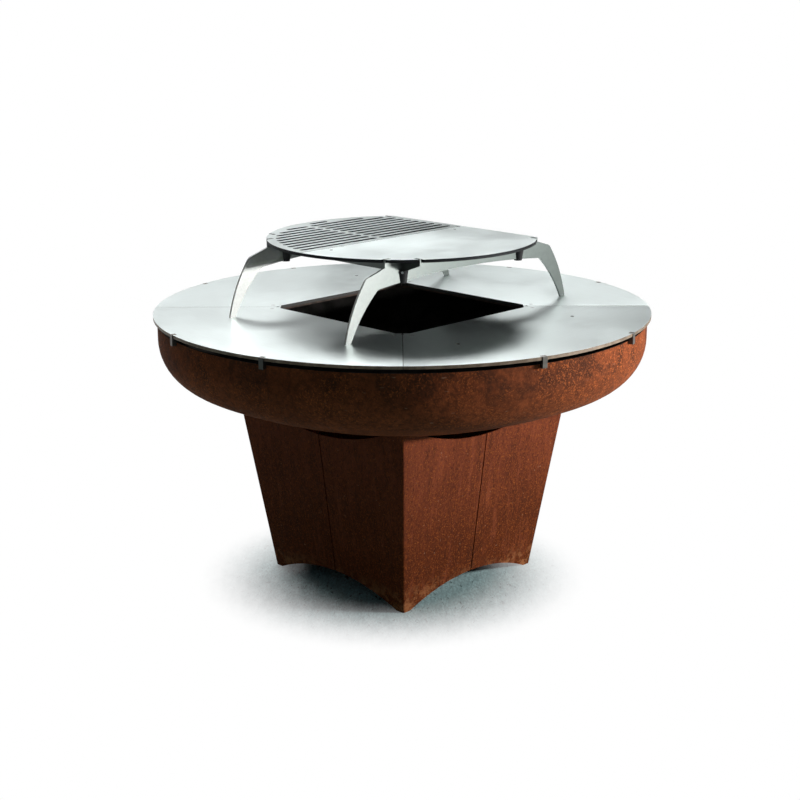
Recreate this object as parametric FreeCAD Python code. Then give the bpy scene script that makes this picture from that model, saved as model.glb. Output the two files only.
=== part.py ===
import FreeCAD, Part
import math
import os

# Grill table: a folded weathering-steel base, a dished fire bowl, a round four-piece worktop with a
# square fire opening, and a raised stand that carries a slotted grate and a solid griddle.
# Millimetres. The origin is on the floor under the centre, +Z up. The base's sides and the opening's
# sides face X and Y. The front corner is the one at -X, -Y.

V = FreeCAD.Vector
Z_AXIS = V(0, 0, 1)
ORIGIN = V(0, 0, 0)
SAME_PLACE = 0.01

# Worktop
table_height = 735.0
plate_thickness = 8.0
plate_overhang = 10.0
plate_seam = 1.5
opening_side = 485.0
opening_corner_flat = 36.0
lift_hole_diameter = 8.0
lift_hole_land = 4.0
frame_thickness = 5.0
frame_width = 50.0
screw_from_flat = 22.0
screw_from_seam = 22.0
screw_diameter = 7.0
screw_head_diameter = 12.0
screw_head_depth = 3.0
screw_hole_clearance = 0.25
screw_key_size = 5.0
screw_key_depth = 2.0

# Fire bowl, a dished end: a round crown, a tighter knuckle and a short straight flange
bowl_diameter = 1300.0
bowl_wall = 5.0
bowl_flange = 45.0
crown_radius = 1400.0
knuckle_radius = 120.0
rim_gap = 12.0

# Rim tabs, a pair on each side of the table
tab_angle = 15.0
tab_width = 13.0
tab_thickness = 12.0
tab_overlap = 8.0
tab_seat_depth = 16.0
tab_below_top = 0.5
tab_clearance = 1.0

# Base of four folded corner plates
base_bottom_side = 500.0
base_lean = 7.6
base_wall = 4.0
base_fold_inside_radius = 1.0
base_side_seam = 4.0
base_arch_rise = 51.0
base_foot_flat = 25.0
base_scoop_gap = 24.0
base_seat_length = 80.0

# Straps behind the base's side seams
strap_width = 64.0
strap_thickness = 5.0
strap_end_gap = 24.0
stud_diameter = 8.0
stud_hole_clearance = 0.5
stud_end_distance = 30.0
nut_width = 13.0
nut_height = 6.5
stud_proud = 3.0

# Raised stand
stand_height = 182.0
stand_plate = 6.0
bridge_offset = 218.0
foot_reach = 406.0
foot_width = 17.0
bridge_corner_reach = 305.0
bridge_corner_height = 119.0
bridge_middle_height = 136.0
bridge_corner_fillet = 22.0
shoulder_drop = 13.0
shoulder_reach = 344.0
shoulder_height = 150.0
shoulder_fillet = 22.0
leg_outer_bulge = 9.5
leg_inner_bulge = 7.5
cross_depth = 32.0
stub_end_depth = 8.0
lug_width = 16.0
lug_proud = 1.0
lug_clearance = 1.5
lug_end_gap = 4.0
middle_lug_width = 8.0
peg_diameter = 9.0
peg_length = 7.0
peg_hole_clearance = 0.5

# Black blocks on the stand's crossings
block_top_diameter = 30.0
block_bottom_diameter = 21.0
block_cap = 3.0
block_over_cross = 6.0
block_screw_diameter = 4.0
block_screw_head_diameter = 6.0
block_screw_head = 2.0
block_screw_drop = 4.0
block_screw_gap = 0.3

# Round cooking surface in two halves, cut straight on one side
disc_diameter = 715.0
disc_thickness = 8.0
disc_cut_offset = 235.0
disc_half_gap = 2.0
slot_pitch = 30.0
slot_width = 14.0
slot_first_edge = 21.0
slot_border = 21.0
slot_bridge_width = 12.0
slot_shortest = 40.0
griddle_hole_diameter = 8.0
griddle_hole_from_split = 24.0
griddle_hole_from_rim = 81.0
griddle_hole_from_cut = 55.0

# Names of the corners and sides, going round from the front corner
CORNERS = {"front": (-1, -1), "right": (1, -1), "back": (1, 1), "left": (-1, 1)}
SIDES = {"right_back": 0, "back_left": 90, "left_front": 180, "front_right": 270}

# Worktop levels and radii
plate_underside = table_height - plate_thickness
frame_underside = plate_underside - frame_thickness
bowl_rim = plate_underside - rim_gap
bowl_radius = bowl_diameter / 2
plate_radius = bowl_radius + plate_overhang
opening_half = opening_side / 2
opening_flat_leg = opening_corner_flat / math.sqrt(2)
opening_flat_radius = (2 * opening_half - opening_flat_leg) / math.sqrt(2)

# Bowl section: centres of the crown and of the knuckle, inside radii
bowl_tangent = bowl_rim - bowl_flange
knuckle_centre = bowl_radius - bowl_wall - knuckle_radius
crown_centre = bowl_tangent + math.sqrt((crown_radius - knuckle_radius) ** 2 - knuckle_centre ** 2)

# Base sides lean outwards by a fixed angle
lean_slope = math.tan(math.radians(base_lean))
base_inset = base_wall / math.cos(math.radians(base_lean))

# Stand levels above the worktop are added to the table's height
seat_level = table_height + stand_height
disc_top = seat_level + disc_thickness
disc_radius = disc_diameter / 2
cross_underside = seat_level - cross_depth
lap_level = seat_level - cross_depth / 2
lug_outer = math.sqrt(disc_radius ** 2 - (bridge_offset + stand_plate / 2) ** 2)
lug_inner = lug_outer - lug_width
lug_top = disc_top + lug_proud


def turned(shape, degrees):
    """A copy of the shape turned about the vertical through the centre."""
    copy = shape.copy()
    copy.rotate(ORIGIN, Z_AXIS, degrees)
    return copy


def prism(points, direction):
    """A straight prism on a closed polygon."""
    wire = Part.makePolygon(points + [points[0]])
    return Part.Face(wire).extrude(direction)


def box(low, high):
    """A box from one corner to the opposite one."""
    return Part.makeBox(high[0] - low[0], high[1] - low[1], high[2] - low[2], V(*low))


def hexagon(width, level):
    """Corner points of a hexagon of the given width across its flats, about the vertical."""
    radius = width / math.sqrt(3)
    angles = [math.radians(60 * k) for k in range(6)]
    return [V(radius * math.cos(a), radius * math.sin(a), level) for a in angles]


def opening_prism(low, high):
    """The fire opening: a square whose corners are cut flat."""
    reach = opening_half
    near = opening_half - opening_flat_leg
    corners = [(reach, -near), (reach, near), (near, reach), (-near, reach)]
    corners += [(-reach, near), (-reach, -near), (-near, -reach), (near, -reach)]
    return prism([V(x, y, low) for x, y in corners], V(0, 0, high - low))


def bowl_profile(wall):
    """Edges of the bowl's section from the bottom's centre to the rim, out from the inside face."""
    crown = crown_radius + wall
    knuckle = knuckle_radius + wall
    meet = math.asin(knuckle_centre / (crown_radius - knuckle_radius))
    meeting_point = V(crown * math.sin(meet), 0, crown_centre - crown * math.cos(meet))
    half = meet / 2
    crown_middle = V(crown * math.sin(half), 0, crown_centre - crown * math.cos(half))
    bend = (meet + math.pi / 2) / 2
    knuckle_middle = V(knuckle_centre + knuckle * math.sin(bend), 0, bowl_tangent - knuckle * math.cos(bend))
    bottom = V(0, 0, crown_centre - crown)
    flange_foot = V(knuckle_centre + knuckle, 0, bowl_tangent)
    flange_top = V(knuckle_centre + knuckle, 0, bowl_rim)
    return [
        Part.Arc(bottom, crown_middle, meeting_point).toShape(),
        Part.Arc(meeting_point, knuckle_middle, flange_foot).toShape(),
        Part.makeLine(flange_foot, flange_top),
    ]


def revolved(edges):
    """A solid of revolution about the vertical from the edges of a closed section."""
    wire = Part.Wire(Part.__sortEdges__(edges))
    return Part.Face(wire).revolve(ORIGIN, Z_AXIS, 360)


def bowl_filled():
    """The whole space inside the bowl's outer face."""
    outer = bowl_profile(bowl_wall)
    bottom = V(0, 0, crown_centre - crown_radius - bowl_wall)
    centre = V(0, 0, bowl_rim)
    closing = [Part.makeLine(V(bowl_radius, 0, bowl_rim), centre), Part.makeLine(centre, bottom)]
    return revolved(outer + closing)


def fire_bowl():
    """Dished bowl of one thickness with a short straight flange."""
    outer = bowl_profile(bowl_wall)
    inner = bowl_profile(0)
    rim = Part.makeLine(V(bowl_radius, 0, bowl_rim), V(bowl_radius - bowl_wall, 0, bowl_rim))
    lowest = crown_centre - crown_radius
    centre = Part.makeLine(V(0, 0, lowest), V(0, 0, lowest - bowl_wall))
    return revolved(outer + inner + [rim, centre])


def base_half(level):
    """Half the base's side at a height."""
    return base_bottom_side / 2 + lean_slope * level


def level_under_bowl(share, along):
    """Height where a line up the base's outer face meets the bowl.

    The line stays at a distance along the side, and out from the centre it follows the half side
    times a share: 1 on a side, root two up a corner. The crown's outer face is a sphere, so the
    height is the lower root of a quadratic.
    """
    start = share * base_half(0)
    slope = share * lean_slope
    square = 1 + slope ** 2
    linear = crown_centre - start * slope
    constant = crown_centre ** 2 + start ** 2 + along ** 2 - (crown_radius + bowl_wall) ** 2
    return (linear - math.sqrt(linear ** 2 - square * constant)) / square


corner_level = level_under_bowl(math.sqrt(2), 0)
scoop_half = base_half(corner_level) - base_seat_length
scoop_end = level_under_bowl(1, scoop_half)
scoop_level = level_under_bowl(1, 0) - base_scoop_gap


def base_frustum(inset, radius):
    """The base's outline as a solid that widens upwards, moved in by an inset, with round corners.

    It runs up past the seat, where the bowl trims it.
    """
    top = corner_level + 2 * base_wall
    low = base_half(0) - inset
    high = base_half(top) - inset
    frustum = Part.makeWedge(-low, 0, -low, -high, -high, low, top, low, high, high)
    frustum.rotate(ORIGIN, V(1, 0, 0), 90)
    corners = [edge for edge in frustum.Edges if edge.BoundBox.ZLength > top / 2]
    return frustum.makeFillet(radius, corners)


def arched_cut(half_span, ends, middle, far):
    """A cut along Y between an arc in the XZ plane and a far level above or below it."""
    depth = base_half(corner_level) + base_bottom_side
    arc = Part.Arc(V(-half_span, -depth, ends), V(0, -depth, middle), V(half_span, -depth, ends)).toShape()
    corners = [V(half_span, -depth, ends), V(half_span, -depth, far), V(-half_span, -depth, far)]
    corners.append(V(-half_span, -depth, ends))
    lines = [Part.makeLine(a, b) for a, b in zip(corners, corners[1:])]
    return Part.Face(Part.Wire([arc] + lines)).extrude(V(0, 2 * depth, 0))


def base_corners():
    """Four folded plates that meet at the middle of each side and carry the bowl beside the folds."""
    fold = base_fold_inside_radius
    shell = base_frustum(0, fold + base_wall).cut(base_frustum(base_inset, fold))
    feet = base_half(0) - base_foot_flat
    arch = arched_cut(feet, 0, base_arch_rise, -base_wall)
    scoop = arched_cut(scoop_half, scoop_end, scoop_level, corner_level + bowl_radius)
    reach = 2 * base_half(corner_level)
    half_seam = base_side_seam / 2
    slit = box((-half_seam, -reach, -base_wall), (half_seam, reach, corner_level + reach))
    for cut in (arch, scoop, slit):
        shell = shell.cut(cut).cut(turned(cut, 90))
    shell = shell.cut(bowl_filled())
    named = {}
    for name, (x_sign, y_sign) in CORNERS.items():
        for solid in shell.Solids:
            centre = solid.CenterOfMass
            if centre.x * x_sign > 0 and centre.y * y_sign > 0:
                named["base_corner_" + name] = solid
    return named


def on_side(shape, degrees):
    """Place a shape, drawn on an upright inside face at X = 0, on the leaning side at an angle."""
    placed = shape.copy()
    placed.rotate(ORIGIN, V(0, 1, 0), base_lean)
    placed.translate(V(base_half(0) - base_inset, 0, 0))
    return turned(placed, degrees)


def stud_places():
    """Positions of one strap's studs, across the seam and up the slope."""
    slope = math.cos(math.radians(base_lean))
    low = (base_arch_rise + strap_end_gap) / slope + stud_end_distance
    high = (scoop_level - strap_end_gap) / slope - stud_end_distance
    across = strap_width / 4 + base_side_seam / 4
    return [(y, z) for y in (-across, across) for z in (low, high)]


def stud_rod(y, z, clearance):
    """Cylinder of one stud from the base's inside face, or with a clearance its hole in the strap."""
    length = strap_thickness + nut_height + stud_proud
    return Part.makeCylinder(stud_diameter / 2 + clearance, length, V(0, y, z), V(-1, 0, 0))


def seam_strap():
    """Flat strap behind a side seam, drilled for its studs."""
    slope = math.cos(math.radians(base_lean))
    low = (base_arch_rise + strap_end_gap) / slope
    high = (scoop_level - strap_end_gap) / slope
    strap = box((-strap_thickness, -strap_width / 2, low), (0, strap_width / 2, high))
    for y, z in stud_places():
        strap = strap.cut(stud_rod(y, z, stud_hole_clearance))
    return strap


def strap_studs():
    """Studs on the base's inside with a nut on each, four to a strap."""
    nut = prism(hexagon(nut_width, 0), V(0, 0, nut_height))
    nut.rotate(ORIGIN, V(0, 1, 0), -90)
    nut.translate(V(-strap_thickness, 0, 0))
    studs = []
    for degrees in SIDES.values():
        for y, z in stud_places():
            placed_nut = nut.copy()
            placed_nut.translate(V(0, y, z))
            studs.append(on_side(stud_rod(y, z, 0).fuse(placed_nut), degrees))
    return Part.makeCompound(studs)


def tab_angles():
    """Directions of the rim tabs, a pair about the middle of each side."""
    return [side + tab for side in SIDES.values() for tab in (-tab_angle, tab_angle)]


def rim_tab():
    """Flat tab on the bowl's flange with a seat on the rim, its tip in the worktop's notch."""
    half = tab_width / 2
    outer = bowl_radius + tab_thickness
    inner = bowl_radius - tab_seat_depth
    leg = box((inner, -half, bowl_rim - tab_overlap), (outer, half, bowl_rim))
    leg = leg.cut(Part.makeCylinder(bowl_radius, bowl_flange, V(0, 0, bowl_rim - bowl_flange)))
    seat = box((inner, -half, bowl_rim), (outer, half, plate_underside))
    tip = box((bowl_radius, -half, plate_underside), (outer, half, table_height - tab_below_top))
    return leg.fuse([seat, tip]).removeSplitter()


def peg_places(reach, offset):
    """Centres of a stand's four feet for a reach along X and an offset along Y."""
    return [(x * reach, y * offset) for x in (-1, 1) for y in (-1, 1)]


def screw_places():
    """Centres of the worktop's screws, a pair at each corner of the opening."""
    along = opening_flat_radius + screw_from_flat
    places = []
    for corner in range(4):
        angle = math.radians(45 + 90 * corner)
        for across in (-screw_from_seam, screw_from_seam):
            x = along * math.cos(angle) - across * math.sin(angle)
            y = along * math.sin(angle) + across * math.cos(angle)
            places.append((x, y))
    return places


def countersink():
    """Conical seat of a screw's head, its wide end level with the worktop."""
    narrow = screw_diameter / 2
    return Part.makeCone(narrow, screw_head_diameter / 2, screw_head_depth,
                         V(0, 0, table_height - screw_head_depth))


def frame_screw():
    """Countersunk screw with a hexagon key socket, from the worktop's face to the frame's underside."""
    shank = Part.makeCylinder(screw_diameter / 2, table_height - screw_head_depth - frame_underside,
                              V(0, 0, frame_underside))
    socket = prism(hexagon(screw_key_size, table_height - screw_key_depth), V(0, 0, screw_key_depth))
    return countersink().fuse(shank).removeSplitter().cut(socket)


def moved(shape, x, y):
    """A copy of the shape moved level."""
    copy = shape.copy()
    copy.translate(V(x, y, 0))
    return copy


def top_plates():
    """Four quarter plates round the opening, parted along the diagonals."""
    ring = Part.makeCylinder(plate_radius, plate_thickness, V(0, 0, plate_underside))
    ring = ring.cut(opening_prism(plate_underside, table_height))
    half_seam = plate_seam / 2
    slit = box((-plate_radius, -half_seam, plate_underside), (plate_radius, half_seam, table_height))
    half_notch = tab_width / 2 + tab_clearance
    notch = box((bowl_radius - tab_clearance, -half_notch, plate_underside),
                (plate_radius + tab_clearance, half_notch, table_height))
    peg_hole = Part.makeCylinder(peg_diameter / 2 + peg_hole_clearance, plate_thickness,
                                 V(0, 0, plate_underside))
    lift_hole = Part.makeCylinder(lift_hole_diameter / 2, plate_thickness, V(0, 0, plate_underside))
    lift_radius = opening_flat_radius + lift_hole_land + lift_hole_diameter / 2
    screw_hole = Part.makeCylinder(screw_diameter / 2 + screw_hole_clearance, plate_thickness,
                                   V(0, 0, plate_underside)).fuse(countersink())
    cuts = [turned(slit, 45), turned(slit, 135)]
    cuts += [turned(notch, angle) for angle in tab_angles()]
    feet = peg_places(foot_reach, bridge_offset) + peg_places(bridge_offset, foot_reach)
    cuts += [moved(peg_hole, x, y) for x, y in feet]
    cuts += [turned(moved(lift_hole, lift_radius, 0), 45 + 90 * corner) for corner in range(4)]
    cuts += [moved(screw_hole, x, y) for x, y in screw_places()]
    ring = ring.cut(cuts)
    named = {}
    for name, degrees in SIDES.items():
        outward = turned(Part.Vertex(1, 0, 0), degrees).Point
        named["top_plate_" + name] = max(ring.Solids, key=lambda solid: solid.CenterOfMass.dot(outward))
    return named


def under_frame():
    """Square ring under the opening's edges that the four plates are screwed to."""
    reach = opening_half + frame_width
    ring = box((-reach, -reach, frame_underside), (reach, reach, plate_underside))
    ring = ring.cut(opening_prism(frame_underside, plate_underside))
    hole = Part.makeCylinder(screw_diameter / 2, frame_thickness, V(0, 0, frame_underside))
    return ring.cut([moved(hole, x, y) for x, y in screw_places()])


def frame_screws():
    """All the screws of the worktop's frame."""
    screw = frame_screw()
    return Part.makeCompound([moved(screw, x, y) for x, y in screw_places()])


def bridge_underside(x):
    """Height of a bridge plate's arched lower edge above the worktop."""
    rise = bridge_middle_height - bridge_corner_height
    radius = (bridge_corner_reach ** 2 + rise ** 2) / (2 * rise)
    return bridge_middle_height - radius + math.sqrt(radius ** 2 - x ** 2)


def bulged(start, end, bulge):
    """An arc in the XZ plane between two points that swells to the left of its way by a bulge."""
    way = end - start
    left = V(-way.z, 0, way.x)
    return Part.Arc(start, (start + end) / 2 + left.normalize() * bulge, end).toShape()


def half_plate(edges):
    """Half a stand plate from the closed outline of its +X half, centred on Y = 0."""
    half = Part.Face(Part.Wire(edges)).extrude(V(0, stand_plate, 0))
    half.translate(V(0, -stand_plate / 2, 0))
    return half


def both_halves(right, left):
    """A stand plate from its half on +X and the one that is mirrored to -X."""
    return right.fuse(left.mirror(ORIGIN, V(1, 0, 0))).removeSplitter()


def outline(points):
    """Straight edges through points given as distance from the middle and height above the floor."""
    corners = [V(x, 0, z) for x, z in points]
    return [Part.makeLine(a, b) for a, b in zip(corners, corners[1:])]


def rounded(plate, x, height, radius):
    """The plate with its upright edges at one place in its outline rounded."""
    level = table_height + height
    edges = [edge for edge in plate.Edges
             if abs(edge.CenterOfMass.x - x) < SAME_PLACE and abs(edge.CenterOfMass.z - level) < SAME_PLACE]
    return plate.makeFillet(radius, edges)


def bridge_half(top):
    """Half a bridge plate with its curved tapering leg, under a top edge that ends at the shoulder."""
    foot_outer = V(foot_reach + foot_width / 2, 0, table_height)
    foot_inner = V(foot_reach - foot_width / 2, 0, table_height)
    shoulder = V(shoulder_reach, 0, table_height + shoulder_height)
    corner = V(bridge_corner_reach, 0, table_height + bridge_corner_height)
    half_way = bridge_corner_reach / 2
    arch_middle = V(half_way, 0, table_height + bridge_underside(half_way))
    middle = V(0, 0, table_height + bridge_middle_height)
    leg = [
        bulged(shoulder, foot_outer, leg_outer_bulge),
        Part.makeLine(foot_outer, foot_inner),
        bulged(foot_inner, corner, -leg_inner_bulge),
        Part.Arc(corner, arch_middle, middle).toShape(),
        Part.makeLine(middle, V(0, 0, seat_level)),
    ]
    half = half_plate(outline(top + [(shoulder.x, shoulder.z)]) + leg)
    half = rounded(half, shoulder_reach, shoulder_height, shoulder_fillet)
    return rounded(half, bridge_corner_reach, bridge_corner_height, bridge_corner_fillet)


def bridge_plate():
    """Arched plate with a leg at each end. A lug holds the disc's rim, except where the disc is cut."""
    neck = seat_level - shoulder_drop
    with_lug = [(0, seat_level), (lug_inner, seat_level), (lug_inner, lug_top), (lug_outer, lug_top),
                (lug_outer, neck)]
    without_lug = [(0, seat_level), (disc_cut_offset + lug_clearance, seat_level), (lug_outer, neck)]
    plate = both_halves(bridge_half(without_lug), bridge_half(with_lug))
    half = stand_plate / 2
    lap = box((bridge_offset - half, -stand_plate, lap_level), (bridge_offset + half, stand_plate, lug_top))
    return plate.cut([lap, turned(lap, 180)])


def cross_plate():
    """Plate that locks two bridge plates together, with a lug at each end and one in the middle."""
    half = half_plate(outline([
        (0, disc_top), (middle_lug_width / 2, disc_top), (middle_lug_width / 2, seat_level),
        (lug_inner, seat_level), (lug_inner, lug_top), (lug_outer, lug_top),
        (lug_outer, seat_level - stub_end_depth), (bridge_offset, cross_underside),
        (0, cross_underside), (0, disc_top)]))
    plate = both_halves(half, half)
    side = stand_plate / 2
    lap = box((bridge_offset - side, -stand_plate, cross_underside),
              (bridge_offset + side, stand_plate, lap_level))
    return turned(plate.cut([lap, turned(lap, 180)]), 90)


def block_span():
    """Lower and upper level of the blocks on the crossings."""
    low = table_height + bridge_underside(bridge_offset) - block_cap
    return low, cross_underside + block_over_cross


def block_screw():
    """Small round-headed screw in a block's outer side, drawn along +X at the level it has."""
    low, high = block_span()
    level = high - block_screw_drop
    slope = (block_top_diameter - block_bottom_diameter) / 2 / (high - low)
    face = block_top_diameter / 2 - slope * block_screw_drop
    head_start = face - block_screw_head / 2
    tip = stand_plate / math.sqrt(2) + block_screw_diameter / 2 + block_screw_gap
    shank = Part.makeCylinder(block_screw_diameter / 2, head_start - tip, V(tip, 0, level), V(1, 0, 0))
    head = Part.makeCylinder(block_screw_head_diameter / 2, block_screw_head, V(head_start, 0, level), V(1, 0, 0))
    return shank.fuse(head)


def corner_blocks(plates):
    """Tapered black blocks pushed up over the crossings, and the screw in each."""
    low, high = block_span()
    cone = Part.makeCone(block_bottom_diameter / 2, block_top_diameter / 2, high - low, V(0, 0, low))
    blocks = {}
    screws = []
    for name, (x_sign, y_sign) in CORNERS.items():
        x = x_sign * bridge_offset
        y = y_sign * bridge_offset
        outward = math.degrees(math.atan2(y_sign, x_sign))
        screw = moved(turned(block_screw(), outward), x, y)
        blocks["corner_block_" + name] = moved(cone, x, y).cut(plates + [screw])
        screws.append(screw)
    return blocks, Part.makeCompound(screws)


def foot_pegs():
    """Pegs under the stand's feet that drop into the worktop's holes."""
    peg = Part.makeCylinder(peg_diameter / 2, peg_length, V(0, 0, table_height - peg_length))
    return Part.makeCompound([moved(peg, x, y) for x, y in peg_places(foot_reach, bridge_offset)])


def disc_half(sign):
    """Half of the cut disc on one side of the split, notched for the stand's lugs."""
    half = Part.makeCylinder(disc_radius, disc_thickness, V(0, 0, seat_level))
    low = disc_half_gap / 2 if sign > 0 else -disc_radius
    high = disc_radius if sign > 0 else -disc_half_gap / 2
    half = half.common(box((-disc_radius, low, seat_level), (disc_cut_offset, high, disc_top)))
    beside = stand_plate / 2 + lug_clearance
    along = middle_lug_width / 2 + lug_clearance
    middle_notch = box((-beside, -along, seat_level), (beside, along, disc_top))
    rim_notch = box((lug_inner - lug_end_gap, -beside, seat_level), (disc_radius, beside, disc_top))
    cuts = [moved(middle_notch, x, 0) for x in (-bridge_offset, bridge_offset)]
    cuts += [moved(turned(rim_notch, sign * 90), x, 0) for x in (-bridge_offset, bridge_offset)]
    cuts.append(moved(turned(rim_notch, 180), 0, sign * bridge_offset))
    return half.cut(cuts)


def long_slot(start, end, y):
    """A slot along X with round ends."""
    radius = slot_width / 2
    left = V(start + radius, y, seat_level)
    right = V(end - radius, y, seat_level)
    rise = V(0, radius, 0)
    edges = [
        Part.makeLine(left - rise, right - rise),
        Part.Arc(right - rise, right + V(radius, 0, 0), right + rise).toShape(),
        Part.makeLine(right + rise, left + rise),
        Part.Arc(left + rise, left - V(radius, 0, 0), left - rise).toShape(),
    ]
    return Part.Face(Part.Wire(edges)).extrude(V(0, 0, disc_thickness))


def grate():
    """Half disc with rows of long slots, parted by one bridge across the middle."""
    middle = (disc_cut_offset - disc_radius) / 2
    inner_radius = disc_radius - slot_border
    rows = int((inner_radius - slot_first_edge) / slot_pitch) + 1
    slots = []
    for row in range(rows):
        y = slot_first_edge + slot_width / 2 + row * slot_pitch
        far_edge = y + slot_width / 2
        if far_edge >= inner_radius:
            continue
        reach = math.sqrt(inner_radius ** 2 - far_edge ** 2)
        right_end = min(reach, disc_cut_offset - slot_border)
        left_spans = (-reach, min(right_end, middle - slot_bridge_width / 2))
        right_spans = (max(-reach, middle + slot_bridge_width / 2), right_end)
        for start, end in (left_spans, right_spans):
            if end - start >= slot_shortest:
                slots.append(long_slot(start, end, y))
    return disc_half(1).cut(slots)


def griddle():
    """Solid half disc with a lifting hole near each end of the split."""
    hole = Part.makeCylinder(griddle_hole_diameter / 2, disc_thickness, V(0, 0, seat_level))
    places = [griddle_hole_from_rim - disc_radius, disc_cut_offset - griddle_hole_from_cut]
    return disc_half(-1).cut([moved(hole, x, -griddle_hole_from_split) for x in places])


def build():
    """Every piece of the table by name."""
    pieces = base_corners()
    for name, degrees in SIDES.items():
        pieces["seam_strap_" + name] = on_side(seam_strap(), degrees)
    pieces["strap_studs"] = strap_studs()
    pieces["fire_bowl"] = fire_bowl()
    for number, angle in enumerate(tab_angles(), start=1):
        pieces["rim_tab_" + str(number)] = turned(rim_tab(), angle)
    pieces.update(top_plates())
    pieces["under_frame"] = under_frame()
    pieces["frame_screws"] = frame_screws()
    stand = {
        "bridge_plate_front_right": moved(bridge_plate(), 0, -bridge_offset),
        "bridge_plate_back_left": moved(bridge_plate(), 0, bridge_offset),
        "cross_plate_left_front": moved(cross_plate(), -bridge_offset, 0),
        "cross_plate_right_back": moved(cross_plate(), bridge_offset, 0),
    }
    pieces.update(stand)
    blocks, screws = corner_blocks(list(stand.values()))
    pieces.update(blocks)
    pieces["block_screws"] = screws
    pieces["foot_pegs"] = foot_pegs()
    pieces["grate"] = grate()
    pieces["griddle"] = griddle()
    return pieces


os.makedirs("parts", exist_ok=True)
for piece_name, piece in build().items():
    piece.exportStep(os.path.join("parts", piece_name + ".step"))
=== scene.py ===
import math

import bpy
from mathutils import Matrix, Vector


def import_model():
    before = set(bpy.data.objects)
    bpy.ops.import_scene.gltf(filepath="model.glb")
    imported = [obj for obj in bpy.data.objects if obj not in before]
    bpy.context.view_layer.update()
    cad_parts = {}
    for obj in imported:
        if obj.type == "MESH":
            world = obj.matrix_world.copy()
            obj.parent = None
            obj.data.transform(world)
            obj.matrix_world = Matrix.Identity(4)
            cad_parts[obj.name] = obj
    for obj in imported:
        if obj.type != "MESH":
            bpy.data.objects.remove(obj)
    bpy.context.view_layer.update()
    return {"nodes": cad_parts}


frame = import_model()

# Grill table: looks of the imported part, in metres, in the part's own frame.
# The camera looks from the front corner, at -X -Y. View right is +X -Y, and away is +X +Y.

# Camera, fitted to the photograph's frame
CAMERA_PLACE = Vector((-2.8968, -2.8789, 1.5946))
CAMERA_LENS = 69.97
CAMERA_SENSOR = 36.0
CAMERA_PITCH = math.radians(15.334)
CAMERA_YAW = math.radians(-45.086)
CAMERA_ROLL = math.radians(-0.198)

# Directions on the floor, as seen in the photograph
VIEW_RIGHT = Vector((1, -1, 0)).normalized()
VIEW_AWAY = Vector((1, 1, 0)).normalized()

# Light: a level strip lamp on the right, a wide soft box high up behind, a faint one lower on the left
# behind and a soft lamp overhead. Places of the two soft boxes are to the right, away and up.
KEY_ANGLE = math.radians(75)
KEY_DISTANCE = 2.5
KEY_HEIGHT = 0.94
KEY_SIZE = (0.5, 0.06)
KEY_POWER = 64.0
BACK_PLACE = (-0.8, 2.9, 3.4)
BACK_SIZE = (4.8, 0.8)
BACK_POWER = 154.0
SIDE_PLACE = (-1.5, 3.6, 1.85)
SIDE_SIZE = (2.4, 1.2)
SIDE_POWER = 4.8
TOP_HEIGHT = 3.2
TOP_SIZE = (1.6, 1.6)
TOP_POWER = 3.0
LAMP_TARGET = Vector((0, 0, 0.5))
AMBIENT = (0.038, 0.056, 0.066)

# White studio in reflections, first round the table and then behind it: its share, and the upward parts of
# the rays at which it begins and is full. Between the two parts of STUDIO_TURN away from the camera, the
# first value turns into the second.
STUDIO_TURN = (0.0, 0.4)
STUDIO_SHARE = (1.0, 0.02)
STUDIO_LOW = (math.sin(math.radians(2)), math.sin(math.radians(17)))
STUDIO_FULL = (math.sin(math.radians(16)), math.sin(math.radians(27)))

# Floor: a white disc with a patch of concrete in its middle. Reflections see the white only behind the
# table, growing between the two distances in MIRRORED_FLOOR.
FLOOR_RADIUS = 14
FLOOR_SIDES = 96
CONCRETE_CENTRE = (-0.06, -0.02, 0)
CONCRETE_FADE = (0.22, 0.54)
CONCRETE_RAGGED = 0.008
MIRRORED_FLOOR = (0.2, 1.0)
TROWELLED = {"stretch": (1, 0.35, 1), "turn": -math.pi / 4}

# Heights between which looks change, and the height of the centre of the bowl's crown
PALER_BASE = (0.10, 0.46)
SCUFFED_FEET = (0.015, 0.085)
UNDER_RIM = (0.61, 0.68)
# Painted shadow: the stand's tops above these heights are darkened on the +Y side
STAND_PAINTED_SHADOW_HEIGHTS = (0.855, 0.873)
CROWN_CENTRE = 1.8374

# Other places between which looks change: towards the camera (painted shade on the bowl), from the origin,
# along Y (painted shadow on the stand) and to the right (painted shade on the stand and the cooking
# surfaces)
# Painted shade: the bowl darkens towards the camera between these distances
BOWL_PAINTED_SHADE_SPAN = (0.36, 0.64)
SOOT_REACH = (0.82, 0.95)
# Painted shadow on the stand's +Y side, growing along Y between these distances
STAND_PAINTED_SHADOW_SIDE = (0.0, 0.15)
# Painted shade: the stand darkens from its left end to its right end between these distances to the right
STAND_PAINTED_SHADE_SPAN = (-0.45, 0.15)
# Painted shade: the cooking surfaces darken to the right between these distances
COOKING_PAINTED_SHADE_SPAN = (-0.05, 0.30)

# Upward part of a surface's direction from a cut edge to a face
FACE = (0.5, 0.8)

# Values of a noise between which it changes a look
MIDDLE = (0.3, 0.7)
PATCHY = (0.36, 0.66)
MOTTLED = (0.35, 0.65)

# Satin plates: shares of the steel's tone on the cooking surfaces, roughness, what the grain adds to it,
# and the grain by the axis that it runs along
GRIDDLE_SHARE = 1.12
GRATE_SHARE = 0.74
SATIN = 0.30
SATIN_GRAIN = 0.04
GRAIN_SCALE = 60.0
GRAIN_SHADE = 0.95
GRAIN_STRETCH = {"X": (0.25, 5, 1), "Y": (5, 0.25, 1)}
GRAIN_SPREAD = {"X": 0.2, "Y": 0.5}
GRAIN_BUMP = {"strength": 0.02, "distance": 0.0001}

# Roughness of the rim tabs and of the screws and studs
TAB_ROUGHNESS = 0.42
ZINC_ROUGHNESS = 0.35

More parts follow.
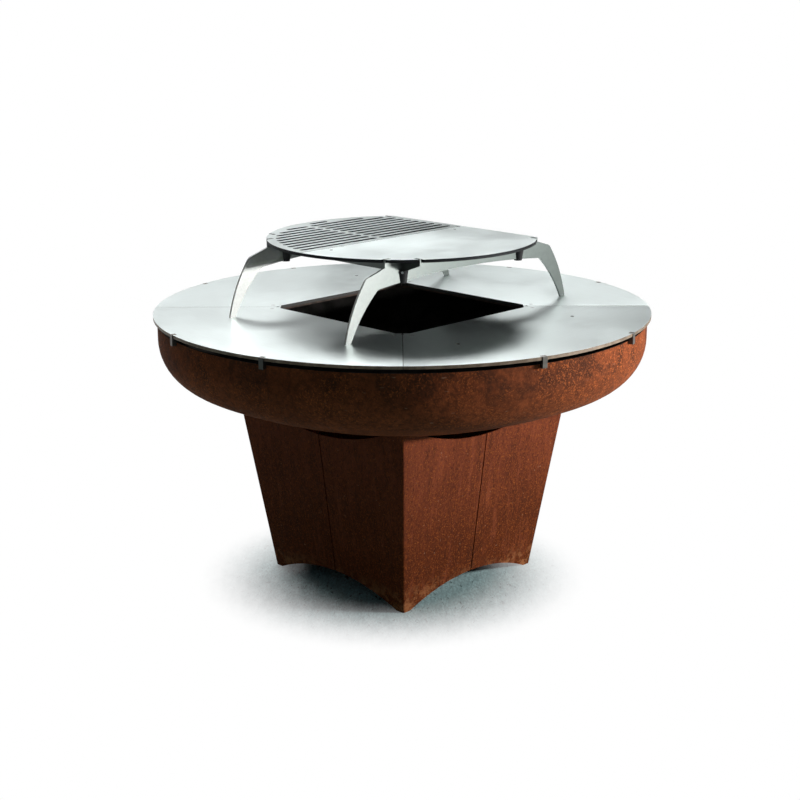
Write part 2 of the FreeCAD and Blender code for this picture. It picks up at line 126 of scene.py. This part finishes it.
# Rust: surface, then colours of the base and of the bowl, linear like all colours here
RUST_SURFACE = {"Metallic": 0.0, "Roughness": 0.8, "Specular_IOR_Level": 0.09}
BASE_LOW = ((0.088, 0.0172, 0.0036), (0.105, 0.0208, 0.0046))
BASE_HIGH = ((0.146, 0.0310, 0.0120), (0.178, 0.0385, 0.0155))
BASE_DARK_RUN = (0.050, 0.0130, 0.0055)
BASE_PALE_RUN = (0.27, 0.064, 0.0270)
BASE_DARK_GRAIN = (0.040, 0.0100, 0.0040)
BASE_ORANGE_GRAIN = (0.26, 0.058, 0.0120)
BASE_SPECK = (0.34, 0.086, 0.0170)
BASE_SCUFF = (0.36, 0.135, 0.052)
BASE_PIT = (0.42, 0.22, 0.13)
BOWL_RUST = ((0.21, 0.049, 0.0155), (0.33, 0.078, 0.0255))
BOWL_MOTTLE = (0.075, 0.021, 0.0085)
BOWL_RUN = (0.040, 0.016, 0.0090)
BOWL_SPECKLE = (0.55, 0.134, 0.0340)
# Painted shade on the bowl's front
BOWL_PAINTED_SHADE = (0.030, 0.010, 0.0050)
BOWL_SCRATCH = (0.52, 0.30, 0.20)

# Colours of the rest
WHITE = (1, 1, 1)
STEEL = (0.745, 0.812, 0.803)
SOOT = (0.010, 0.009, 0.008)
ASH = (0.045, 0.041, 0.038)
OXIDE = ((0.15, 0.100, 0.062), (0.24, 0.17, 0.115))
SOOTED_EDGE = (0.026, 0.023, 0.020)
DARK_EDGE = (0.020, 0.021, 0.022)
TAB = (0.14, 0.128, 0.115)
ZINC = (0.55, 0.57, 0.57)
# Painted lit and shaded tones of the stand's steel, at its left and right ends
STAND_PAINTED_LIT = (0.35, 0.355, 0.34)
STAND_PAINTED_SHADE = (0.108, 0.123, 0.115)
STAND_MOTTLE = (0.06, 0.065, 0.065)
# Painted shadow on the tops of the stand's parts
STAND_PAINTED_SHADOW = (0.045, 0.052, 0.052)
SOOTED_FRAME = ((0.030, 0.020, 0.015), (0.070, 0.042, 0.030))
BLOCK = ((0.006, 0.006, 0.007), (0.012, 0.012, 0.013))
CONCRETE = (0.405, 0.57, 0.57)


def shaded(colour, share):
    """A colour made darker or paler."""
    return [part * share for part in colour]


# Shades of the concrete
CONCRETE_DARK = shaded(CONCRETE, 0.88)
CONCRETE_PALE = shaded(CONCRETE, 1.20)
CONCRETE_GRAIN = shaded(CONCRETE, 0.66)
CONCRETE_PIT = shaded(CONCRETE, 0.26)


class Nodes:
    """A node tree, and short calls that add nodes to it."""

    def __init__(self, tree):
        self.nodes = tree.nodes
        self.links = tree.links

    def put(self, socket, value):
        """Give a socket a value, or a link where the value is another node's output."""
        if isinstance(value, bpy.types.NodeSocket):
            self.links.new(value, socket)
        elif socket.type == "RGBA":
            socket.default_value = (*value, 1)
        else:
            socket.default_value = value

    def math(self, operation, first, second=0.0):
        node = self.nodes.new("ShaderNodeMath")
        node.operation = operation
        self.put(node.inputs[0], first)
        self.put(node.inputs[1], second)
        return node.outputs[0]

    def times(self, *factors):
        product = factors[0]
        for factor in factors[1:]:
            product = self.math("MULTIPLY", product, factor)
        return product

    def split(self, vector):
        node = self.nodes.new("ShaderNodeSeparateXYZ")
        self.put(node.inputs[0], vector)
        return node.outputs

    def vector(self, operation, first, second):
        """A vector operation, as its vector and its value."""
        node = self.nodes.new("ShaderNodeVectorMath")
        node.operation = operation
        self.put(node.inputs[0], first)
        self.put(node.inputs[1], second)
        return node.outputs[0], node.outputs[1]

    def range(self, value, low, high, to_low, to_high):
        """The value moved smoothly from one range to another and held there."""
        node = self.nodes.new("ShaderNodeMapRange")
        node.interpolation_type = "SMOOTHSTEP"
        self.put(node.inputs["Value"], value)
        self.put(node.inputs["From Min"], low)
        self.put(node.inputs["From Max"], high)
        self.put(node.inputs["To Min"], to_low)
        self.put(node.inputs["To Max"], to_high)
        return node.outputs["Result"]

    def rising(self, value, low, high, most=1.0):
        """From nothing where the value is low to the most where it is high."""
        return self.range(value, low, high, 0.0, most)

    def falling(self, value, low, high, most=1.0):
        """From the most where the value is low to nothing where it is high."""
        return self.range(value, low, high, most, 0.0)

    def mix(self, share, first, second):
        node = self.nodes.new("ShaderNodeMix")
        node.data_type = "RGBA"
        self.put(node.inputs["Factor"], share)
        self.put(node.inputs["A"], first)
        self.put(node.inputs["B"], second)
        return node.outputs["Result"]

    def light_paths(self):
        """Outputs for rays that see straight, from the camera or through glass, and for mirrored ones."""
        path = self.nodes.new("ShaderNodeLightPath").outputs
        direct = self.math("MAXIMUM", path["Is Camera Ray"], path["Is Transmission Ray"])
        return direct, path["Is Glossy Ray"]


class Shader(Nodes):
    """One material."""

    def __init__(self, name):
        self.material = bpy.data.materials.new(name)
        self.material.use_nodes = True
        super().__init__(self.material.node_tree)
        self.surface = self.nodes["Principled BSDF"]
        self.place = self.nodes.new("ShaderNodeTexCoord").outputs["Object"]

    def set(self, **values):
        """Set sockets of the surface by their names, with _ for a space."""
        for name, value in values.items():
            self.put(self.surface.inputs[name.replace("_", " ")], value)

    def stretched(self, scale, turn):
        """Object coordinates, turned about the vertical and then scaled by axis."""
        node = self.nodes.new("ShaderNodeMapping")
        node.vector_type = "TEXTURE"
        self.put(node.inputs["Vector"], self.place)
        self.put(node.inputs["Rotation"], (0, 0, turn))
        self.put(node.inputs["Scale"], [1 / part for part in scale])
        return node.outputs["Vector"]

    def noise(self, scale, detail=4.0, rough=0.55, stretch=(1, 1, 1), turn=0.0):
        node = self.nodes.new("ShaderNodeTexNoise")
        self.put(node.inputs["Vector"], self.stretched(stretch, turn))
        self.put(node.inputs["Scale"], scale)
        self.put(node.inputs["Detail"], detail)
        self.put(node.inputs["Roughness"], rough)
        return node.outputs["Fac"]

    def bump(self, height, strength, distance):
        node = self.nodes.new("ShaderNodeBump")
        self.put(node.inputs["Height"], height)
        self.put(node.inputs["Strength"], strength)
        self.put(node.inputs["Distance"], distance)
        self.set(Normal=node.outputs["Normal"])

    def blasted(self):
        """A fine skin, as from blasting."""
        self.bump(self.noise(600.0, detail=2.0), strength=0.12, distance=0.0002)

    def brushed(self, grain, share):
        """Spread reflections across a level grain that runs along X or Y."""
        node = self.nodes.new("ShaderNodeTangent")
        node.direction_type = "RADIAL"
        node.axis = grain
        self.set(Tangent=node.outputs["Tangent"], Anisotropic=share)

    def along(self, direction):
        """Distance from the middle of the table in a direction."""
        return self.vector("DOT_PRODUCT", self.place, direction)[1]

    def direction(self):
        """The surface's own direction."""
        return self.nodes.new("ShaderNodeNewGeometry").outputs["Normal"]

    def satin(self, lines, clouds, smoother, rougher):
        """Roughness of a satin face, from its grain and its faint clouds."""
        cloudy = self.range(clouds, *MIDDLE, smoother, rougher)
        return self.math("ADD", cloudy, self.range(lines, *MIDDLE, SATIN, SATIN + SATIN_GRAIN))


def base_steel():
    """Weathered base: fine grain of dark and orange rust, long faint runs, orange scuffs at the feet."""
    shader = Shader("weathered_base")
    level = shader.split(shader.place)[2]
    patches = shader.rising(shader.noise(6.0), *PATCHY)
    grain = shader.noise(190.0, rough=0.75, stretch=(1, 1, 0.55))
    specks = shader.noise(260.0, detail=2.0, rough=0.6)
    runs = shader.noise(48.0, rough=0.65, stretch=(1, 1, 0.09))
    low = shader.mix(patches, *BASE_LOW)
    high = shader.mix(patches, *BASE_HIGH)
    colour = shader.mix(shader.rising(level, *PALER_BASE), low, high)
    colour = shader.mix(shader.falling(runs, 0.30, 0.50, most=0.45), colour, BASE_DARK_RUN)
    colour = shader.mix(shader.rising(runs, 0.52, 0.70, most=0.40), colour, BASE_PALE_RUN)
    colour = shader.mix(shader.falling(grain, 0.34, 0.50, most=0.6), colour, BASE_DARK_GRAIN)
    colour = shader.mix(shader.rising(grain, 0.52, 0.70, most=0.75), colour, BASE_ORANGE_GRAIN)
    colour = shader.mix(shader.rising(specks, 0.57, 0.69, most=0.8), colour, BASE_SPECK)
    scuffs = shader.rising(shader.noise(42.0, detail=5.0, rough=0.7), 0.44, 0.62, most=0.8)
    feet = shader.times(shader.falling(level, *SCUFFED_FEET), scuffs)
    colour = shader.mix(feet, colour, BASE_SCUFF)
    pits = shader.rising(shader.noise(120.0, detail=2.0), 0.71, 0.77, most=0.6)
    colour = shader.mix(pits, colour, BASE_PIT)
    shader.set(Base_Color=colour, **RUST_SURFACE)
    shader.bump(shader.math("ADD", grain, specks), strength=0.35, distance=0.0008)
    return shader.material


def bowl_steel():
    """Weathered bowl: orange speckle in drifts, dark runs under the rim, pale scratches, painted shade on
    its front, soot inside.
    """
    shader = Shader("weathered_bowl")
    level = shader.split(shader.place)[2]
    patches = shader.rising(shader.noise(9.0, detail=5.0), *PATCHY)
    drifts = shader.range(shader.noise(8.0, rough=0.6), 0.36, 0.60, 0.25, 1.0)
    speckle = shader.rising(shader.noise(200.0, detail=3.0, rough=0.7), 0.51, 0.65)
    mottle = shader.rising(shader.noise(70.0, rough=0.65), 0.35, 0.66)
    streaks = shader.noise(9.0, detail=5.0, rough=0.6, stretch=(1, 1, 0.6))
    runs = shader.rising(streaks, 0.48, 0.54, most=0.55)
    runs = shader.times(runs, shader.rising(level, *UNDER_RIM))
    scratches = shader.rising(shader.noise(30.0, detail=3.0, stretch=(1, 1, 5.5)), 0.70, 0.76, most=0.45)
    colour = shader.mix(patches, *BOWL_RUST)
    colour = shader.mix(shader.times(mottle, 0.65), colour, BOWL_MOTTLE)
    colour = shader.mix(runs, colour, BOWL_RUN)
    colour = shader.mix(shader.times(speckle, drifts, 0.95), colour, BOWL_SPECKLE)
    # Painted shade: the front of the bowl, towards the camera, is darkened
    front = shader.rising(shader.along(-VIEW_AWAY), *BOWL_PAINTED_SHADE_SPAN, most=0.19)
    colour = shader.mix(front, colour, BOWL_PAINTED_SHADE)
    colour = shader.mix(scratches, colour, BOWL_SCRATCH)
    outward = shader.vector("SUBTRACT", shader.place, (0, 0, CROWN_CENTRE))[0]
    facing = shader.vector("DOT_PRODUCT", shader.direction(), outward)[1]
    inside = shader.mix(patches, SOOT, ASH)
    colour = shader.mix(shader.rising(facing, -0.02, 0.02), inside, colour)
    shader.set(Base_Color=colour, **RUST_SURFACE)
    shader.bump(shader.math("ADD", speckle, mottle), strength=0.35, distance=0.0007)
    return shader.material


def worktop_steel(name, grain):
    """Satin sheet: fine grain along an axis, brown oxide on its cut edges, soot on those at the fire."""
    shader = Shader(name)
    lines = shader.noise(GRAIN_SCALE, detail=3.0, stretch=GRAIN_STRETCH[grain])
    clouds = shader.noise(3.2, detail=3.0)
    up = shader.math("ABSOLUTE", shader.split(shader.direction())[2])
    tone = shader.mix(shader.rising(lines, *MIDDLE), shaded(STEEL, GRAIN_SHADE), STEEL)
    oxide = shader.mix(shader.rising(shader.noise(40.0), *MOTTLED), *OXIDE)
    from_origin = shader.vector("LENGTH", shader.place, (0, 0, 0))[1]
    edge = shader.mix(shader.rising(from_origin, *SOOT_REACH), SOOTED_EDGE, oxide)
    shader.set(Base_Color=shader.mix(shader.rising(up, *FACE), edge, tone))
    shader.set(Metallic=shader.range(up, *FACE, 0.3, 1.0))
    smooth = shader.satin(lines, clouds, -0.015, 0.02)
    shader.set(Roughness=shader.math("ADD", smooth, shader.falling(up, *FACE, most=0.2)))
    shader.brushed(grain, GRAIN_SPREAD[grain])
    shader.bump(lines, **GRAIN_BUMP)
    return shader.material


def cooking_steel(name, share):
    """Cooking surface: a share of the steel's tone on top, painted shade that darkens it to the right,
    dark edges, soot below.
    """
    shader = Shader(name)
    lines = shader.noise(GRAIN_SCALE, detail=3.0, stretch=GRAIN_STRETCH["X"])
    clouds = shader.noise(5.0, detail=3.0)
    up = shader.split(shader.direction())[2]
    top = shader.rising(up, *FACE)
    below = shader.rising(shader.times(up, -1.0), *FACE)
    bright = shaded(STEEL, share)
    tone = shader.mix(shader.rising(lines, *MIDDLE), shaded(bright, GRAIN_SHADE), bright)
    # Painted shade: the cooking surface's tone darkens to the right, mixed towards the soot colour
    painted_right_shade = shader.rising(shader.along(VIEW_RIGHT), *COOKING_PAINTED_SHADE_SPAN, most=0.24)
    tone = shader.mix(painted_right_shade, tone, SOOT)
    colour = shader.mix(top, DARK_EDGE, tone)
    colour = shader.mix(below, colour, SOOT)
    shader.set(Base_Color=colour, Metallic=shader.math("SUBTRACT", 1.0, below))
    smooth = shader.satin(lines, clouds, -0.02, 0.03)
    shader.set(Roughness=shader.math("ADD", smooth, shader.falling(up, *FACE, most=0.3)))
    shader.bump(lines, **GRAIN_BUMP)
    return shader.material


def plain_steel(name, colour, roughness):
    """Blasted or rolled steel with a faint mottle."""
    shader = Shader(name)
    mottle = shader.noise(90.0)
    tone = shader.mix(shader.rising(mottle, *MIDDLE), shaded(colour, 0.88), colour)
    shader.set(Base_Color=tone, Metallic=1.0)
    shader.set(Roughness=shader.range(mottle, *MIDDLE, roughness - 0.04, roughness + 0.05))
    shader.blasted()
    return shader.material


def stand_steel():
    """Matt laser-cut steel, with painted shade darkening it from left to right and a painted shadow along
    the tops of its parts on the +Y side, under the grate.
    """
    shader = Shader("stand_steel")
    mottle = shader.noise(120.0, detail=5.0, rough=0.6)
    place = shader.split(shader.place)
    # Painted shadow: the tops of the stand's parts on the +Y side are darkened
    shadowed_side = shader.rising(place[1], *STAND_PAINTED_SHADOW_SIDE, most=0.75)
    painted_shadow = shader.times(shader.rising(place[2], *STAND_PAINTED_SHADOW_HEIGHTS), shadowed_side)
    # Painted shade: the stand's tone darkens from left to right
    tone = shader.mix(shader.rising(shader.along(VIEW_RIGHT), *STAND_PAINTED_SHADE_SPAN), STAND_PAINTED_LIT, STAND_PAINTED_SHADE)
    tone = shader.mix(shader.falling(mottle, *MOTTLED, most=0.15), tone, STAND_MOTTLE)
    tone = shader.mix(painted_shadow, tone, STAND_PAINTED_SHADOW)
    shader.set(Base_Color=tone, Metallic=1.0)
    shader.set(Roughness=shader.range(mottle, *MIDDLE, 0.42, 0.48))
    shader.blasted()
    return shader.material


def sooted_steel():
    """Frame under the worktop, browned and sooted by the fire."""
    shader = Shader("sooted_steel")
    mottle = shader.noise(60.0)
    tone = shader.mix(shader.rising(mottle, *MOTTLED), *SOOTED_FRAME)
    shader.set(Base_Color=tone, Metallic=0.0, Roughness=0.7, Specular_IOR_Level=0.25)
    shader.bump(mottle, strength=0.2, distance=0.0004)
    return shader.material


def black_block():
    """Matt black blocks with a fine cast skin."""
    shader = Shader("black_block")
    skin = shader.noise(500.0, detail=3.0)
    tone = shader.mix(shader.rising(skin, *MIDDLE), *BLOCK)
    shader.set(Base_Color=tone, Metallic=0.0, Specular_IOR_Level=0.25)
    shader.set(Roughness=shader.range(skin, *MIDDLE, 0.5, 0.62))
    shader.bump(skin, strength=0.2, distance=0.0003)
    return shader.material


def dress(names, material):
    """Give CAD nodes a material."""
    for name in names:
        mesh = frame["nodes"][name].data
        mesh.materials.clear()
        mesh.materials.append(material)


def named(*starts):
    """Names of the CAD nodes that begin in one of these ways."""
    return [name for name in frame["nodes"] if name.startswith(starts)]


def floor():
    """Concrete round the base that turns plain white away from it."""
    bpy.ops.mesh.primitive_circle_add(vertices=FLOOR_SIDES, radius=FLOOR_RADIUS, fill_type="NGON")
    plane = bpy.context.object
    plane.name = "floor"
    shader = Shader("floor")
    mottle = shader.rising(shader.noise(30.0, detail=6.0, rough=0.75, **TROWELLED), *PATCHY)
    grain = shader.rising(shader.noise(170.0, detail=3.0, rough=0.75, **TROWELLED), 0.40, 0.60, most=0.8)
    pits = shader.rising(shader.noise(75.0, rough=0.7, **TROWELLED), 0.60, 0.64, most=0.9)
    colour = shader.mix(mottle, CONCRETE_DARK, CONCRETE_PALE)
    colour = shader.mix(grain, colour, CONCRETE_GRAIN)
    colour = shader.mix(pits, colour, CONCRETE_PIT)
    shader.set(Base_Color=colour, Roughness=0.9, Specular_IOR_Level=0.1)
    offset = shader.vector("SUBTRACT", shader.place, CONCRETE_CENTRE)[0]
    radius = shader.vector("LENGTH", offset, (0, 0, 0))[1]
    waver = shader.noise(40.0, detail=5.0, rough=0.75, **TROWELLED)
    ragged = shader.math("ADD", radius, shader.range(waver, *MIDDLE, -CONCRETE_RAGGED, CONCRETE_RAGGED))
    direct, mirrored = shader.light_paths()
    behind = shader.rising(shader.along(VIEW_AWAY), *MIRRORED_FLOOR)
    seen = shader.math("MAXIMUM", direct, shader.times(mirrored, behind))
    white = shader.nodes.new("ShaderNodeEmission")
    shader.put(white.inputs["Color"], WHITE)
    shader.put(white.inputs["Strength"], 1.0)
    blend = shader.nodes.new("ShaderNodeMixShader")
    shader.put(blend.inputs["Fac"], shader.times(shader.rising(ragged, *CONCRETE_FADE), seen))
    shader.put(blend.inputs[1], shader.surface.outputs[0])
    shader.put(blend.inputs[2], white.outputs[0])
    shader.put(shader.nodes["Material Output"].inputs["Surface"], blend.outputs[0])
    plane.data.materials.append(shader.material)


def seen_place(right, away, up):
    """A place from its distances as seen in the photograph."""
    return VIEW_RIGHT * right + VIEW_AWAY * away + Vector((0, 0, up))


def lamp(name, place, target, size, power):
    """A rectangular lamp that lights a target and that the camera doesn't see."""
    data = bpy.data.lights.new(name, "AREA")
    data.shape = "RECTANGLE"
    data.size, data.size_y = size
    data.energy = power
    item = bpy.data.objects.new(name, data)
    bpy.context.scene.collection.objects.link(item)
    item.location = place
    item.rotation_euler = (target - place).to_track_quat("-Z", "Y").to_euler()
    item.visible_camera = False


def lamps():
    key_right = KEY_DISTANCE * math.sin(KEY_ANGLE)
    key_away = -KEY_DISTANCE * math.cos(KEY_ANGLE)
    key_target = Vector((0, 0, KEY_HEIGHT))
    lamp("key", seen_place(key_right, key_away, KEY_HEIGHT), key_target, KEY_SIZE, KEY_POWER)
    lamp("back", seen_place(*BACK_PLACE), LAMP_TARGET, BACK_SIZE, BACK_POWER)
    lamp("side", seen_place(*SIDE_PLACE), LAMP_TARGET, SIDE_SIZE, SIDE_POWER)
    lamp("top", seen_place(0, 0, TOP_HEIGHT), LAMP_TARGET, TOP_SIZE, TOP_POWER)


def world():
    """White where the camera looks past the table and, above the horizon, in reflections."""
    studio = bpy.data.worlds.new("studio")
    bpy.context.scene.world = studio
    studio.use_nodes = True
    tree = Nodes(studio.node_tree)
    direct, mirrored = tree.light_paths()
    way = tree.nodes.new("ShaderNodeTexCoord").outputs["Generated"]
    away = tree.vector("DOT_PRODUCT", way, VIEW_AWAY)[1]
    low = tree.range(away, *STUDIO_TURN, *STUDIO_LOW)
    full = tree.range(away, *STUDIO_TURN, *STUDIO_FULL)
    share = tree.range(away, *STUDIO_TURN, *STUDIO_SHARE)
    sky = tree.rising(tree.split(way)[2], low, full, most=share)
    shown = tree.math("MAXIMUM", direct, mirrored)
    background = tree.nodes["Background"].inputs
    tree.put(background["Strength"], tree.range(mirrored, 0.0, 1.0, 1.0, sky))
    tree.put(background["Color"], tree.mix(shown, AMBIENT, WHITE))


def camera():
    data = bpy.data.cameras.new("camera")
    data.lens = CAMERA_LENS
    data.sensor_width = CAMERA_SENSOR
    item = bpy.data.objects.new("camera", data)
    bpy.context.scene.collection.objects.link(item)
    turn = Matrix.Rotation(CAMERA_YAW, 4, "Z") @ Matrix.Rotation(math.pi / 2 - CAMERA_PITCH, 4, "X")
    item.matrix_world = Matrix.Translation(CAMERA_PLACE) @ turn @ Matrix.Rotation(CAMERA_ROLL, 4, "Z")
    bpy.context.scene.camera = item


dress(named("base_corner", "seam_strap"), base_steel())
dress(["fire_bowl"], bowl_steel())
dress(["under_frame"], sooted_steel())
dress(named("rim_tab"), plain_steel("tab_steel", TAB, TAB_ROUGHNESS))
dress(["strap_studs", "frame_screws", "block_screws"], plain_steel("zinc_steel", ZINC, ZINC_ROUGHNESS))
dress(["top_plate_left_front", "top_plate_right_back"], worktop_steel("satin_along_y", "Y"))
dress(["top_plate_front_right", "top_plate_back_left"], worktop_steel("satin_along_x", "X"))
dress(["griddle"], cooking_steel("satin_griddle", GRIDDLE_SHARE))
dress(["grate"], cooking_steel("satin_grate", GRATE_SHARE))
dress(named("bridge_plate", "cross_plate", "foot_pegs"), stand_steel())
dress(named("corner_block"), black_block())
floor()
lamps()
world()
camera()
bpy.context.scene.view_settings.view_transform = "Standard"
